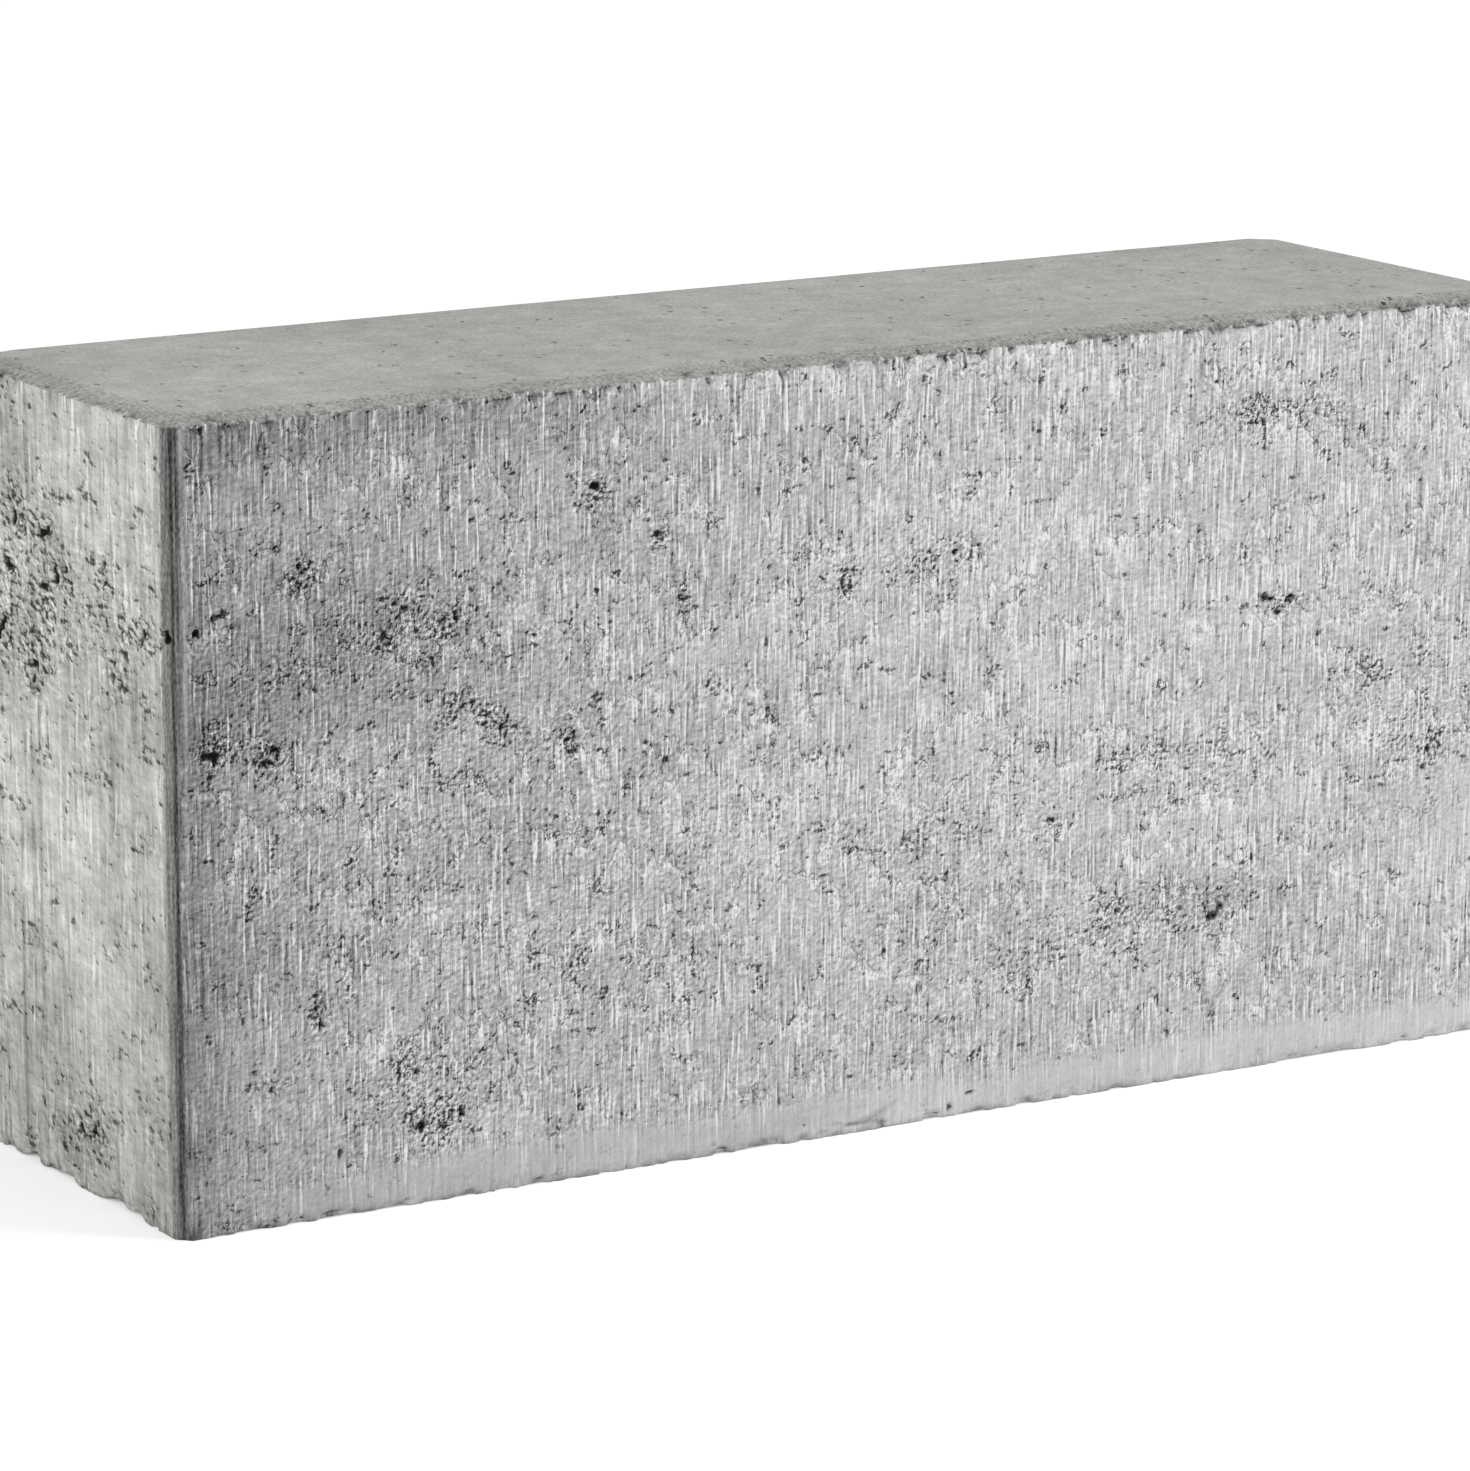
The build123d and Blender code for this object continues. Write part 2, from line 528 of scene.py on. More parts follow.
    def raise_flake(self):
        """The flake at the base of the front, with the crack that runs round it."""
        middle_x, middle_z = FLAKE_PLACE
        half_x, half_z = FLAKE_SIZE
        apart = np.hypot((self.x - middle_x) / half_x, (self.z - middle_z) / half_z)
        apart = apart + 0.22 * self.field("flake_edge")
        self.out += 0.8 * ease(1.08, 0.95, apart) * self.front
        self.tone -= 0.34 * hump(apart, 1.05, 0.11) * self.front * ease(*CRACK_START, self.x)
        self.tone -= 0.05 * ease(1.1, 0.8, apart) * self.front * self.field("flake_shade")

    def wear_arris(self):
        """Crumbs broken out of the edge under the bevel, most of them at the front right, with painted
        shade in them and a painted highlight along the edge at the front.
        """
        inward = np.minimum(self.to_end, self.to_side)
        to_arris = np.where(self.z > self.shoulder, inward, self.shoulder - self.z)
        chips = self.field("arris_chip") + 0.35 * self.field("arris_wear")
        chips += 0.45 * ease(*FACE_REACH, self.from_front) * ease(*CHIPPED_START, self.x)
        crumble = ease(0.15, 0.6, chips) * ease(3.4, 0.6, to_arris)
        self.out -= 2.0 * crumble
        # Painted shade in the broken crumbs, deeper on the bevel.
        self.tone -= (0.12 + 0.22 * (1 - self.wall)) * crumble
        # Painted highlight along the edge under the bevel, on the front.
        painted_arris_highlight = ease(0.1, -0.3, chips) * ease(5, 1, to_arris)
        self.tone += 0.06 * painted_arris_highlight * self.front * ease(*ARRIS_HIGHLIGHT_START, self.x)

    def pierce_bevel(self):
        """The holes in the bevel along the front, darkened with painted shade."""
        for along, across, strength in BEVEL_HOLES:
            hole = strength * hump(self.x, along, 1.8) * hump(self.y, across, 1.6) * (1 - self.wall)
            self.out -= 1.2 * hole
            # Painted shade in the holes.
            self.tone -= 0.22 * hole

    def break_base(self):
        """The broken edge of the base, lifted a little off the floor, and the pitted underside."""
        wear = self.shape.base_wear / MM
        broken = ease(-0.1, 0.7, self.field("base_break") + 0.5 * self.field("base_run"))
        broken += 0.4 * ease(0, 0.6, self.field("base_crumb"))
        broken *= ease(6, 18, self.to_end + self.to_side)
        self.out -= wear * broken * ease(3.5, 0.2, self.z) * ~self.under
        notch = np.zeros(len(self.x))
        for place, half, depth in BASE_NOTCHES:
            notch += depth * hump(self.y, place, half) * ease(*END_REACH, self.from_left)
        rim = ease(6, 0.3, self.z) * ease(6, 0.5, np.minimum(self.to_end, self.to_side))
        on_end = ease(*END_REACH, self.to_end)
        self.lift = (wear * (0.25 + 0.15 * on_end) * broken + notch) * rim
        # Patchy darkening towards the bottom.
        self.tone -= 0.14 * ease(2.4, 0.4, self.z) * ease(-0.2, 0.5, self.field("base_darkening"))
        self.out[self.under] = -0.4 * ease(0, 1, self.crumb[self.under])


# The mesh

def wrap_grid(counts):
    """The points of a lattice that lie on the outside of a box, and the four-sided faces between them."""
    shape = tuple(count + 1 for count in counts)
    shell = np.zeros(shape, dtype=bool)
    shell[[0, -1]] = True
    shell[:, [0, -1]] = True
    shell[:, :, [0, -1]] = True
    index = np.full(shape, -1, dtype=np.int32)
    index[shell] = np.arange(shell.sum())

    def sheet(layer, turned):
        corners = (layer[:-1, :-1], layer[1:, :-1], layer[1:, 1:], layer[:-1, 1:])
        faces = np.stack([corner.ravel() for corner in corners], axis=1)
        return faces[:, ::-1] if turned else faces

    faces = [
        sheet(index[:, :, 0], True), sheet(index[:, :, -1], False),
        sheet(index[:, 0, :], False), sheet(index[:, -1, :], True),
        sheet(index[0], True), sheet(index[-1], False),
    ]
    return np.argwhere(shell), np.concatenate(faces)


def form_block(points, counts):
    """Moves lattice points to the block: cut corners, upright walls, and the bevel round the top."""
    size = np.array([BLOCK["length"], BLOCK["width"], BLOCK["height"]])
    places = points / np.array(counts) * size - size * (0.5, 0.5, 0)
    on_top = points[:, 2] == counts[2]
    half_length, half_width = size[:2] / 2
    to_end = half_length - np.abs(places[:, 0])
    to_side = half_width - np.abs(places[:, 1])
    to_corner = to_end + to_side
    pull = np.maximum(BLOCK["corner_cut"] - to_corner, 0) / 2
    run, drop = BLOCK["bevel_run"], BLOCK["bevel_drop"]
    corner_run = 2 * run + BLOCK["top_cut"] - BLOCK["corner_cut"]
    to_corner = np.maximum(to_corner - BLOCK["corner_cut"], 0)
    inward = np.minimum.reduce([to_end / run, to_side / run, to_corner / corner_run, np.ones(len(points))])
    places[:, 0] -= np.sign(places[:, 0]) * pull
    places[:, 1] -= np.sign(places[:, 1]) * pull
    places[:, 2] *= (size[2] - drop) / size[2]
    places[on_top, 2] += drop * inward[on_top]
    return places


def weld(places, faces):
    """Joins points that coincide, drops faces that the cut corners fold flat, and makes triangles."""
    a, b, c, d = (places[faces[:, corner]] for corner in range(4))
    area = np.linalg.norm(np.cross(c - a, d - b), axis=1) / 2
    _, first, names = np.unique(places.round(4), axis=0, return_index=True, return_inverse=True)
    faces = names.reshape(-1)[faces[area > FLAT_AREA]]
    triangles = np.concatenate([faces[:, [0, 1, 2]], faces[:, [0, 2, 3]]])
    return places[first], triangles


def point_normals(places, triangles):
    """The mean direction of the triangles round each point."""
    a, b, c = (places[triangles[:, corner]] for corner in range(3))
    facing = np.cross(b - a, c - a)
    total = np.zeros_like(places)
    for corner, axis in itertools.product(range(3), range(3)):
        total[:, axis] += np.bincount(triangles[:, corner], facing[:, axis], len(places))
    return total / np.linalg.norm(total, axis=1, keepdims=True)


def add_mesh(name, places, triangles, marks):
    """A Blender object from points in millimetres, with the marks kept on its points."""
    mesh = bpy.data.meshes.new(name)
    mesh.from_pydata(places * MM, [], triangles)
    for mark, values in marks.items():
        mesh.attributes.new(mark, "FLOAT", "POINT").data.foreach_set("value", values.astype(np.float32))
    block = bpy.data.objects.new(name, mesh)
    bpy.context.scene.collection.objects.link(block)
    return block


def thin(block, limit):
    """Takes out the points that the relief doesn't need."""
    thinning = block.modifiers.new("Thinning", "DECIMATE")
    thinning.ratio = min(1, limit / len(block.data.polygons))
    thinned = bpy.data.meshes.new_from_object(block.evaluated_get(bpy.context.evaluated_depsgraph_get()))
    block.modifiers.clear()
    block.data = thinned


def lay_out(block):
    """Lays the six sides out flat for baking, with more room along the block than up it."""
    top_side, base_side = 4, 5
    steep = 0.6
    mesh = block.data
    count = len(mesh.polygons)
    centre = np.empty(count * 3)
    mesh.polygons.foreach_get("center", centre)
    facing = np.empty(count * 3)
    mesh.polygons.foreach_get("normal", facing)
    x, y, z = (centre.reshape(-1, 3) / MM).T
    lift = facing.reshape(-1, 3)[:, 2]
    half_length, half_width, height = BLOCK["length"] / 2, BLOCK["width"] / 2, BLOCK["height"]
    gaps = np.stack([y + half_width, half_width - y, x + half_length, half_length - x])
    side = gaps.argmin(axis=0)
    side[(z > height - BLOCK["bevel_drop"] - 0.4) & (lift > steep)] = top_side
    side[(z < 1.2) & (lift < -steep)] = base_side

    corner_point = np.empty(count * 3, dtype=np.int32)
    mesh.loops.foreach_get("vertex_index", corner_point)
    points = np.empty(len(mesh.vertices) * 3)
    mesh.vertices.foreach_get("co", points)
    px, py, pz = (points.reshape(-1, 3)[corner_point] / MM).T
    side = np.repeat(side, 3)
    long_share, end_share = (px + half_length) / BLOCK["length"], (py + half_width) / BLOCK["width"]
    up_share = pz / height
    # Left, bottom, width and height of each side's place, and the two shares that fill it.
    places = [
        (0.01, 0.755, 0.98, 0.235, long_share, up_share),
        (0.01, 0.505, 0.98, 0.235, long_share, up_share),
        (0.01, 0.255, 0.30, 0.235, end_share, up_share),
        (0.33, 0.255, 0.30, 0.235, end_share, up_share),
        (0.01, 0.010, 0.98, 0.230, long_share, end_share),
        (0.65, 0.255, 0.34, 0.235, long_share, end_share),
    ]
    flat = np.zeros((len(side), 2))
    for number, (left, bottom, width, tall, across, up) in enumerate(places):
        here = side == number
        flat[here, 0] = left + width * np.clip(across[here], 0, 1)
        flat[here, 1] = bottom + tall * np.clip(up[here], 0, 1)
    mesh.uv_layers.new(name="OFBake").data.foreach_set("uv", flat.ravel())


# The finish

class Reading:
    """A shader value that can stand in a Python expression."""

    def __init__(self, finish, socket):
        self.finish = finish
        self.socket = socket

    def __add__(self, other):
        return self.finish.math("ADD", self, other)

    def __radd__(self, other):
        return self.finish.math("ADD", other, self)

    def __sub__(self, other):
        return self.finish.math("SUBTRACT", self, other)

    def __rsub__(self, other):
        return self.finish.math("SUBTRACT", other, self)

    def __mul__(self, other):
        return self.finish.math("MULTIPLY", self, other)

    def __rmul__(self, other):
        return self.finish.math("MULTIPLY", other, self)

    def __truediv__(self, other):
        return self.finish.math("DIVIDE", self, other)

    def __rtruediv__(self, other):
        return self.finish.math("DIVIDE", other, self)

    def __pow__(self, other):
        return self.finish.math("POWER", self, other)

    def __rpow__(self, other):
        return self.finish.math("POWER", other, self)

    def __neg__(self):
        return self.finish.math("SUBTRACT", 0.0, self)

    def __abs__(self):
        return self.finish.math("ABSOLUTE", self)


class Finish:
    """The shader of a material or a sky, put together a node at a time."""

    def __init__(self, owner):
        owner.use_nodes = True
        self.tree = owner.node_tree
        self.tree.nodes.clear()

    def node(self, kind, settings=None, sockets=None):
        """A node of that kind, with its settings, then the values or links of its sockets."""
        made = self.tree.nodes.new(kind)
        for setting, value in (settings or {}).items():
            setattr(made, setting, value)
        for socket, value in (sockets or {}).items():
            if isinstance(value, Reading):
                self.tree.links.new(value.socket, made.inputs[socket])
            else:
                made.inputs[socket].default_value = value
        return made

    def read(self, node, output=0):
        """What a node gives, to stand in an expression."""
        return Reading(self, node.outputs[output])

    def math(self, operation, *values):
        """One Math node on those values."""
        return self.read(self.node("ShaderNodeMath", {"operation": operation}, dict(enumerate(values))))

    def step(self, value, low, high):
        """Goes smoothly from 0 at low to 1 at high."""
        return self.read(self.node(
            "ShaderNodeMapRange", {"interpolation_type": "SMOOTHSTEP"},
            {"Value": value, "From Min": low, "From Max": high}))

    def least(self, a, b):
        return self.math("MINIMUM", a, b)

    def most(self, a, b):
        return self.math("MAXIMUM", a, b)

    def limit(self, value, limits):
        """The value, kept between two limits."""
        return self.least(self.most(value, limits[0]), limits[1])

    def blend(self, share, a, b):
        """The value a where share is 0, and b where it is 1."""
        return a + share * (b - a)

    def saw(self, value):
        """Rises from 0 to 1 over each whole number, and starts again."""
        return self.math("FRACT", value)

    def seen(self):
        """1 for what the camera sees, also in a gloss or glass, and 0 for what lights other things."""
        rays = self.node("ShaderNodeLightPath")
        shown = self.most(self.read(rays, "Is Camera Ray"), self.read(rays, "Is Glossy Ray"))
        return self.most(shown, self.read(rays, "Is Transmission Ray"))

    def mark(self, name):
        """A mark that the mesh keeps on its points."""
        made = self.node("ShaderNodeAttribute", {"attribute_name": name, "attribute_type": "GEOMETRY"})
        return self.read(made, "Fac")

    def spread(self, place, cell, seed):
        """A flat place measured in cells, with a shift of its own."""
        shift = (SEED_SHIFT[0] * seed, SEED_SHIFT[1] * seed, 0)
        return self.read(self.node(
            "ShaderNodeVectorMath", {"operation": "MULTIPLY_ADD"},
            {0: place, 1: (1 / cell[0], 1 / cell[1], 0), 2: shift}))

    def grain(self, place, name):
        """The random grain of that name, about 0."""
        cell, seed, detail = GRAINS[name]
        made = self.node(
            "ShaderNodeTexNoise", {"noise_dimensions": "2D"},
            {"Vector": self.spread(place, cell, seed), "Scale": 1.0, "Detail": detail, "Roughness": 0.5})
        return self.read(made, "Fac") - 0.5

    def cells(self, place, name):
        """The cells of that name, side by side: each one's own random level, and the way to its middle."""
        cell, seed = CELLS[name]
        made = self.node(
            "ShaderNodeTexVoronoi", {"voronoi_dimensions": "2D", "feature": "F1"},
            {"Vector": self.spread(place, cell, seed), "Scale": 1.0, "Randomness": 1.0})
        level = self.read(self.node("ShaderNodeSeparateColor", None, {0: self.read(made, "Color")}))
        return level, self.read(made, "Distance")

    def flat(self, along, up):
        """A place on a face."""
        return self.read(self.node("ShaderNodeCombineXYZ", None, {0: along, 1: up}))

    def mix_colour(self, share, a, b):
        """The colour a where share is 0, and b where it is 1."""
        made = self.node(
            "ShaderNodeMix", {"data_type": "RGBA"}, {"Factor": share, MIX_FIRST: a, MIX_SECOND: b})
        return self.read(made, MIX_RESULT)

    def scale_colour(self, colour, level):
        """A colour or a place times a value."""
        made = self.node("ShaderNodeVectorMath", {"operation": "SCALE"}, {0: colour, "Scale": level})
        return self.read(made)


def solid(colour):
    """A colour that lets nothing through."""
    return (*colour, 1.0)


class ConcreteFinish(Finish):
    """Dry-pressed concrete: dragged and torn walls with voids, smooth corner strips, and a finer top."""

    def __init__(self, colours):
        self.material = bpy.data.materials.new("pressed_concrete")
        super().__init__(self.material)
        self.colours = colours
        self.void, self.torn, self.tone, self.paste = (self.mark(name) for name in MARKS)
        place = self.read(self.node("ShaderNodeTexCoord"), "Object")
        axes = self.node("ShaderNodeSeparateXYZ", None, {0: self.scale_colour(place, 1 / MM)})
        self.x, self.y, self.z = (self.read(axes, axis) for axis in "XYZ")
        self.to_end = BLOCK["length"] / 2 - abs(self.x)
        self.to_side = BLOCK["width"] / 2 - abs(self.y)
        self.to_corner = self.to_end + self.to_side
        self.fall = (BLOCK["height"] - self.z) / BLOCK["bevel_drop"]
        self.long_face = self.step(self.to_end - self.to_side, -0.6, 0.6)
        self.along = self.blend(self.long_face, self.y / END_COARSENESS[0], self.x)
        self.up = self.blend(self.long_face, self.z / END_COARSENESS[1], self.z)
        self.face = self.flat(self.along, self.up)
        self.rough = 1 - 0.7 * self.paste
        self.drag()
        self.paint()

    def drag(self):
        """How keenly the skin is dragged, and how loose and coarse it is."""
        face, torn, long_face = self.face, self.torn, self.long_face
        keen = (0.7 + 0.6 * self.step(self.grain(face, "drag"), -0.14, 0.18)) * (0.5 + 0.5 * long_face)
        keen = keen * (0.45 + 0.9 * self.step(self.grain(face, "fine_drag"), -0.12, 0.12))
        self.keen = keen * (1 - 0.6 * torn)
        self.swell = 0.5 * self.grain(face, "swell") - 0.1
        self.patch = self.grain(face, "patch")
        self.lump = self.grain(face, "lump")
        group = self.step(self.grain(face, "group"), 0.11, 0.29)
        loose = 0.5 * self.patch + 0.45 * torn + 0.45 * group + 0.3 * self.grain(face, "small_group")
        loose = self.step(loose + 0.09 * (1 - long_face), 0.10, 0.42)
        self.coarse = (0.36 + 0.80 * loose + 0.90 * torn) * (0.6 + 0.4 * long_face)
        lip, self.edge = self.plates()
        self.loose = loose + 0.6 * lip - 0.9 * self.lump

    def plates(self):
        """Plates that the mould drags up: the torn strip above each one, and the painted light and shade at
        its ragged upper edge, a highlight on the edge and shade in the strip above.
        """
        face = self.face
        phase = self.up / FINE_PLATE_PITCH + 1.6 * self.grain(face, "plate_wave")
        phase = phase + 0.8 * self.grain(face, "plate_edge") + 0.45 * self.grain(face, "plate_teeth")
        rise = self.saw(phase + 0.35 * self.grain(face, "smooth_crumb"))
        plates = self.step(self.grain(face, "plate_patch") + 0.35 * self.torn, -0.16, 0.16)
        plates = plates * (1 - self.paste) * self.long_face
        lip = plates * self.step(rise, 0.20, 0.02)
        # Painted highlight on each plate's upper edge, less painted shade in the torn strip above it.
        edge = plates * self.step(rise, 0.70, 0.97) - lip
        return lip, edge

    def skin(self, place):
        """The dragged skin at a place on a wall: its height in millimetres, and what makes it up."""
        ridge = self.keen * self.step(self.grain(place, "ridge"), 0.04, 0.26)
        thread = self.keen * (self.grain(place, "thread") + self.swell) + 0.30 * ridge
        crumb = self.grain(place, "crumb")
        need = 0.27 - 0.24 * self.loose
        nick = self.step(-crumb - 0.2 * thread, need, need + 0.20)
        level, away = self.cells(place, "pit")
        radius = 0.52 * self.step(0.42 * self.loose + 0.5 * self.void - level, -0.12, 0.30)
        hole = self.step(away + 1.3 * crumb, radius, radius - 0.40)
        pit = self.most(0.75 * nick, hole)
        height = 1.15 * thread + self.coarse * crumb - 0.28 * pit
        return height, ridge, thread, crumb, pit

    def wall_grey(self):
        """The grey of the walls, with the strips down their corners and their voids, and light and shade
        painted into it.
        """
        lit_face = self.flat(self.along - PAINTED_LIGHT_SHIFT[0], self.up + PAINTED_LIGHT_SHIFT[1])
        height, ridge, thread, crumb, pit = self.skin(self.face)
        lit_height = self.skin(lit_face)[0]
        # Painted light and shade: brighter where the skin faces the upper left, darker where it faces away.
        painted_light_and_shade = self.limit(height - lit_height, PAINTED_SHADE_LIMITS)
        # Painted highlights on the ridges and on the crumbs that stand highest.
        painted_highlight = ridge + 1.2 * self.coarse * self.step(crumb + 0.25 * thread, 0.14, 0.30)
        # Painted shade in the pits: they are made darker as well as lower.
        texture = (
            0.16 * thread + 0.26 * self.coarse * crumb + 0.55 * painted_light_and_shade
            + 0.07 * self.grain(self.face, "sand") + 0.07 * (painted_highlight - 0.3) * (1 - pit)
            - 0.27 * pit - 0.05 * self.loose - 0.03 * self.torn
            # Painted highlight and shade at the plates' upper edges.
            - 0.08 * self.patch + 0.08 * self.lump + 0.12 * self.edge)
        band = self.grain(self.face, "end_band") + 0.6 * self.grain(self.face, "fine_end_band")
        grey = self.blend(self.long_face, self.colours.end_grey, self.colours.long_face_grey)
        grey = grey + self.tone + self.rough * texture
        grey = grey + 0.09 * (1 - self.long_face) * self.rough * band
        strip, strip_grey = self.corner_strip()
        # Painted shade in the voids, deeper on the ends.
        painted_void_shade = self.step(self.void + 0.7 * crumb, 0.20, 0.55)
        painted_void_shade_strength = self.blend(self.long_face, 0.50, 0.36)
        return self.blend(strip, grey, strip_grey) - painted_void_shade_strength * painted_void_shade

    def corner_strip(self):
        """The smooth strip down a cut corner: where it shows, and its grey."""
        z = self.z
        across = self.to_end - self.to_side
        face = self.flat(across, z)
        grain = self.grain(face, "strip_grain")
        strip = self.step(self.to_corner + 1.6 * grain, *STRIP_EDGE)
        strip = strip * (1 - 0.8 * self.step(across + 2.0 * grain, 0.9, 2.6) * self.step(z, 195, 130))
        grey = self.colours.corner_grey + 0.32 * grain + 0.25 * self.grain(face, "strip_streak")
        # A dark line down the middle, wider at the foot, and a second one beside it higher up.
        grey = grey - 0.17 * self.step(abs(across + 0.2), 1.2 + 1.2 * self.step(z, 110, 40), 0.3)
        grey = grey - 0.10 * self.step(abs(across - 2.1), 0.9, 0.3) * self.step(z, 110, 190)
        # Light outer edges, and a darker upper end.
        grey = grey + 0.16 * self.step(across, 3.2, 4.2) + 0.04 * self.step(across, -1.6, -4.0)
        return strip, grey - 0.05 * self.step(z, 185, 225)

    def top_grey(self):
        """The top and the bevel round it: where they show, and their grey."""
        length_way = self.flat(self.blend(self.long_face, self.y, self.x), 0.0)
        top = self.step(self.fall + 0.7 * self.grain(length_way, "arris_teeth"), *TOP_EDGE)
        bevel = self.step(self.fall, 0.0, 0.22) * top
        face = self.flat(self.x, self.y)
        sand = self.grain(face, "top_sand")
        speck = self.step(self.grain(face, "top_speck"), 0.21, 0.30)
        streak = self.step(self.grain(face, "top_streak"), 0.13, 0.26)
        level, away = self.cells(face, "pinhole")
        pinhole = self.step(away + 0.5 * sand, 0.22, 0.08) * self.step(level, 0.88, 1.0)
        # The bevel's grey holds painted shade from its tilt as well as its darker paste.
        grey = self.blend(bevel, self.colours.top_grey, self.colours.bevel_paste_and_shade_grey)
        # The pinholes are painted in, dark with painted shade.
        grey = grey + self.tone + 0.10 * self.grain(face, "top_patch") + 0.03 * streak - 0.34 * pinhole
        grey = grey + (0.18 + 0.12 * bevel) * sand + (0.09 + 0.09 * bevel) * self.grain(face, "top_blotch")
        return top, grey - (0.07 + 0.10 * bevel) * speck

    def paint(self):
        """Colour from the greys and the two tints, and a light bump on the walls."""
        top, top_grey = self.top_grey()
        grey = self.limit(self.blend(top, self.wall_grey(), top_grey), GREY_LIMITS)
        tint = self.mix_colour(
            self.long_face * (1 - top), solid(self.colours.warm_tint), solid(self.colours.cool_tint))
        colour = self.scale_colour(tint, grey ** DISPLAY_GAMMA)
        smooth = self.most(self.step(self.fall, *TOP_EDGE), self.step(self.to_corner, *STRIP_EDGE))
        grain = 0.6 * self.grain(self.face, "thread") + 0.45 * self.grain(self.face, "smooth_crumb")
        bump = self.node("ShaderNodeBump", None, {
            "Height": self.rough * (1 - smooth) * grain, "Distance": MM, "Strength": 1.0})
        surface = self.node("ShaderNodeBsdfPrincipled", None, {
            "Base Color": colour, "Roughness": 0.92, "Specular IOR Level": 0.25, "Normal": self.read(bump)})
        self.node("ShaderNodeOutputMaterial", None, {"Surface": self.read(surface)})


def make_floor_finish(stage):
    """A pale floor that the camera sees as white, with the block's shadow on it."""
    material = bpy.data.materials.new("studio_floor")
    finish = Finish(material)
    place = finish.read(finish.node("ShaderNodeTexCoord"), "Object")
    away = finish.read(finish.node("ShaderNodeVectorMath", {"operation": "LENGTH"}, {0: place}), "Value")
    level = finish.blend(finish.step(away, *GLOW_REACH), stage.floor_glow, stage.far_glow)
    glow = finish.scale_colour((1.0, 1.0, 1.0), finish.seen() * level)
    surface = finish.node("ShaderNodeBsdfPrincipled", None, {
        "Base Color": solid(stage.floor_colour), "Roughness": 1.0, "Specular IOR Level": 0.0,
        "Emission Color": glow, "Emission Strength": 1.0})
    finish.node("ShaderNodeOutputMaterial", None, {"Surface": finish.read(surface)})
    return material


def make_sky(stage):
    """Even light from all round, which the camera sees as white."""
    sky = bpy.data.worlds.new("studio")
    finish = Finish(sky)
    light, white = (
        finish.node("ShaderNodeBackground", None, {"Color": solid((1, 1, 1)), "Strength": strength})
        for strength in (stage.sky_level, 1.0))
    both = finish.node("ShaderNodeMixShader", None, {
        0: finish.seen(), 1: finish.read(light), 2: finish.read(white)})
    finish.node("ShaderNodeOutputWorld", None, {"Surface": finish.read(both)})
    return sky


class CURBSTONE_OT_cast_block(bpy.types.Operator):
    """Casts the block in place of its CAD node, with its relief and its finish"""

    bl_idname = "curbstone.cast_block"
    bl_label = "Cast the block"

    def execute(self, context):
        shape = context.scene.curbstone_shape
        size = np.array([BLOCK["length"], BLOCK["width"], BLOCK["height"]])
        counts = np.rint(size / (shape.mesh_step / MM)).astype(int)
        points, faces = wrap_grid(counts)
        places, triangles = weld(form_block(points, counts), faces)
        skin = Skin(places, shape)
        places = places + point_normals(places, triangles) * skin.out[:, None]
        places[:, 2] += skin.lift
        marks = {name: getattr(skin, name) for name in MARKS}
        block = add_mesh("curbstone_block", places, triangles, marks)
        thin(block, shape.triangle_limit)
        lay_out(block)
        block.data.shade_smooth()
        block.data.materials.append(ConcreteFinish(context.scene.curbstone_colours).material)
        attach(block, "root")
        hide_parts(NODE)
        return {"FINISHED"}


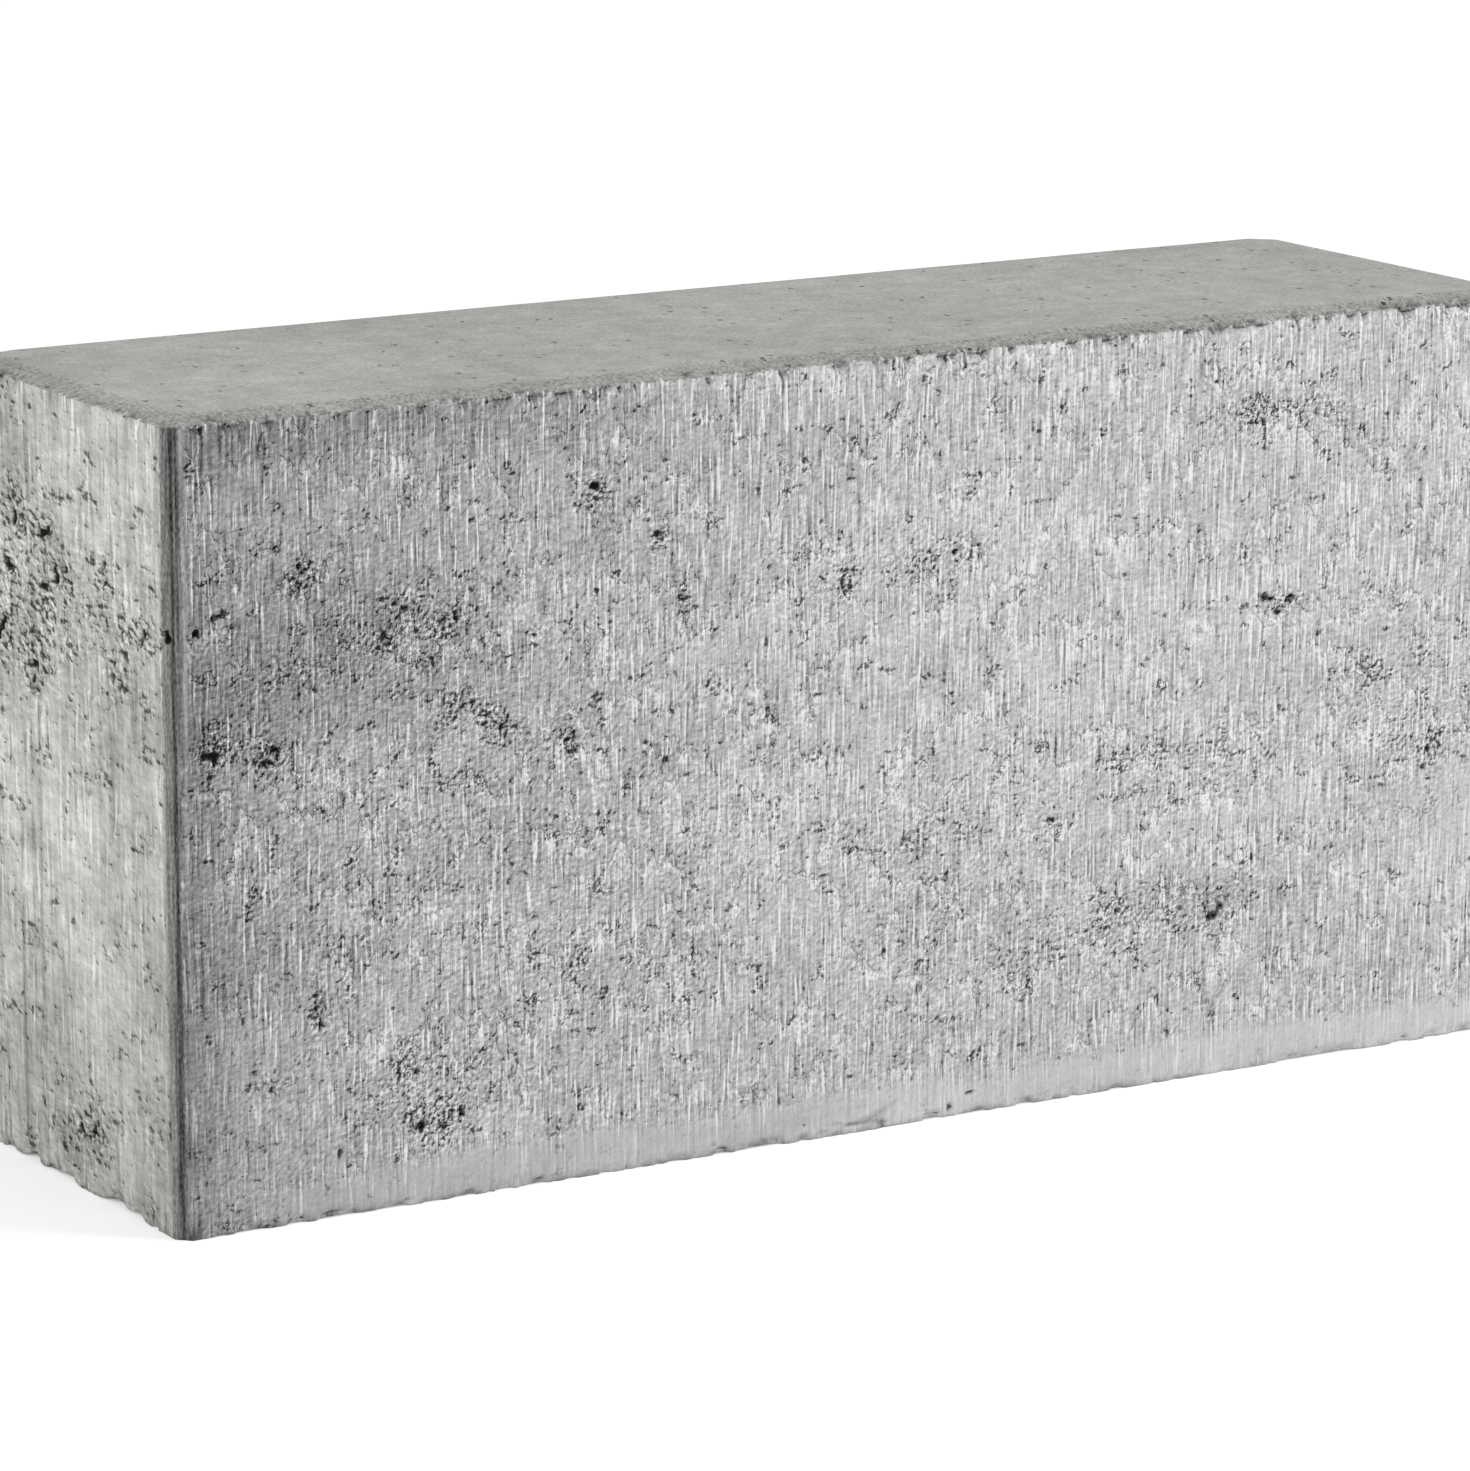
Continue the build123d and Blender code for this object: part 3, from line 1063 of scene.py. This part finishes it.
class CURBSTONE_OT_set_stage(bpy.types.Operator):
    """Sets up the floor, the sky, the lamps and the camera"""

    bl_idname = "curbstone.set_stage"
    bl_label = "Set the stage"

    def execute(self, context):
        stage = context.scene.curbstone_stage
        scene = context.scene
        scene.view_settings.view_transform = "Standard"
        self.add_floor(scene, stage)
        scene.world = make_sky(stage)
        for name, place, power in LAMPS:
            self.add_lamp(scene, name, place, power)
        self.add_camera(scene, stage)
        return {"FINISHED"}

    def add_floor(self, scene, stage):
        half = FLOOR_HALF
        corners = [(-half, -half, 0), (half, -half, 0), (half, half, 0), (-half, half, 0)]
        mesh = bpy.data.meshes.new("floor")
        mesh.from_pydata(corners, [], [(0, 1, 2, 3)])
        floor = bpy.data.objects.new("floor", mesh)
        floor.data.materials.append(make_floor_finish(stage))
        scene.collection.objects.link(floor)

    def add_lamp(self, scene, name, place, power):
        lamp = bpy.data.lights.new(name, "AREA")
        lamp.shape = "DISK"
        lamp.size = LAMP_SIZE
        lamp.energy = power
        held = bpy.data.objects.new(name, lamp)
        held.location = place
        aim = Vector((0, 0, BLOCK["height"] * MM / 2)) - held.location
        held.rotation_euler = aim.to_track_quat("-Z", "Y").to_euler()
        scene.collection.objects.link(held)

    def add_camera(self, scene, stage):
        lens = bpy.data.cameras.new("camera")
        lens.sensor_width = SENSOR_WIDTH
        lens.lens = stage.camera_lens
        camera = bpy.data.objects.new("camera", lens)
        camera.location = stage.camera_place
        camera.rotation_euler = (math.pi / 2 - stage.camera_drop, 0, stage.camera_azimuth)
        scene.collection.objects.link(camera)
        scene.camera = camera


class CURBSTONE_PT_sidebar(bpy.types.Panel):
    """Lists the steps that make the curbstone"""

    bl_label = "Curbstone"
    bl_idname = "CURBSTONE_PT_sidebar"
    bl_space_type = "VIEW_3D"
    bl_region_type = "UI"
    bl_category = "Curbstone"

    def draw(self, context):
        for group in (context.scene.curbstone_shape, context.scene.curbstone_colours,
                      context.scene.curbstone_stage):
            for name in group.__annotations__:
                self.layout.prop(group, name)
        self.layout.operator(CURBSTONE_OT_cast_block.bl_idname)
        self.layout.operator(CURBSTONE_OT_set_stage.bl_idname)


CLASSES = (
    CurbstoneShape,
    CurbstoneColours,
    CurbstoneStage,
    CURBSTONE_OT_cast_block,
    CURBSTONE_OT_set_stage,
    CURBSTONE_PT_sidebar,
)


def register():
    for each in CLASSES:
        bpy.utils.register_class(each)
    bpy.types.Scene.curbstone_shape = bpy.props.PointerProperty(type=CurbstoneShape)
    bpy.types.Scene.curbstone_colours = bpy.props.PointerProperty(type=CurbstoneColours)
    bpy.types.Scene.curbstone_stage = bpy.props.PointerProperty(type=CurbstoneStage)


def unregister():
    del bpy.types.Scene.curbstone_shape
    del bpy.types.Scene.curbstone_colours
    del bpy.types.Scene.curbstone_stage
    for each in reversed(CLASSES):
        bpy.utils.unregister_class(each)


def main():
    register()
    bpy.ops.curbstone.cast_block()
    bpy.ops.curbstone.set_stage()


if __name__ == "__main__":
    main()
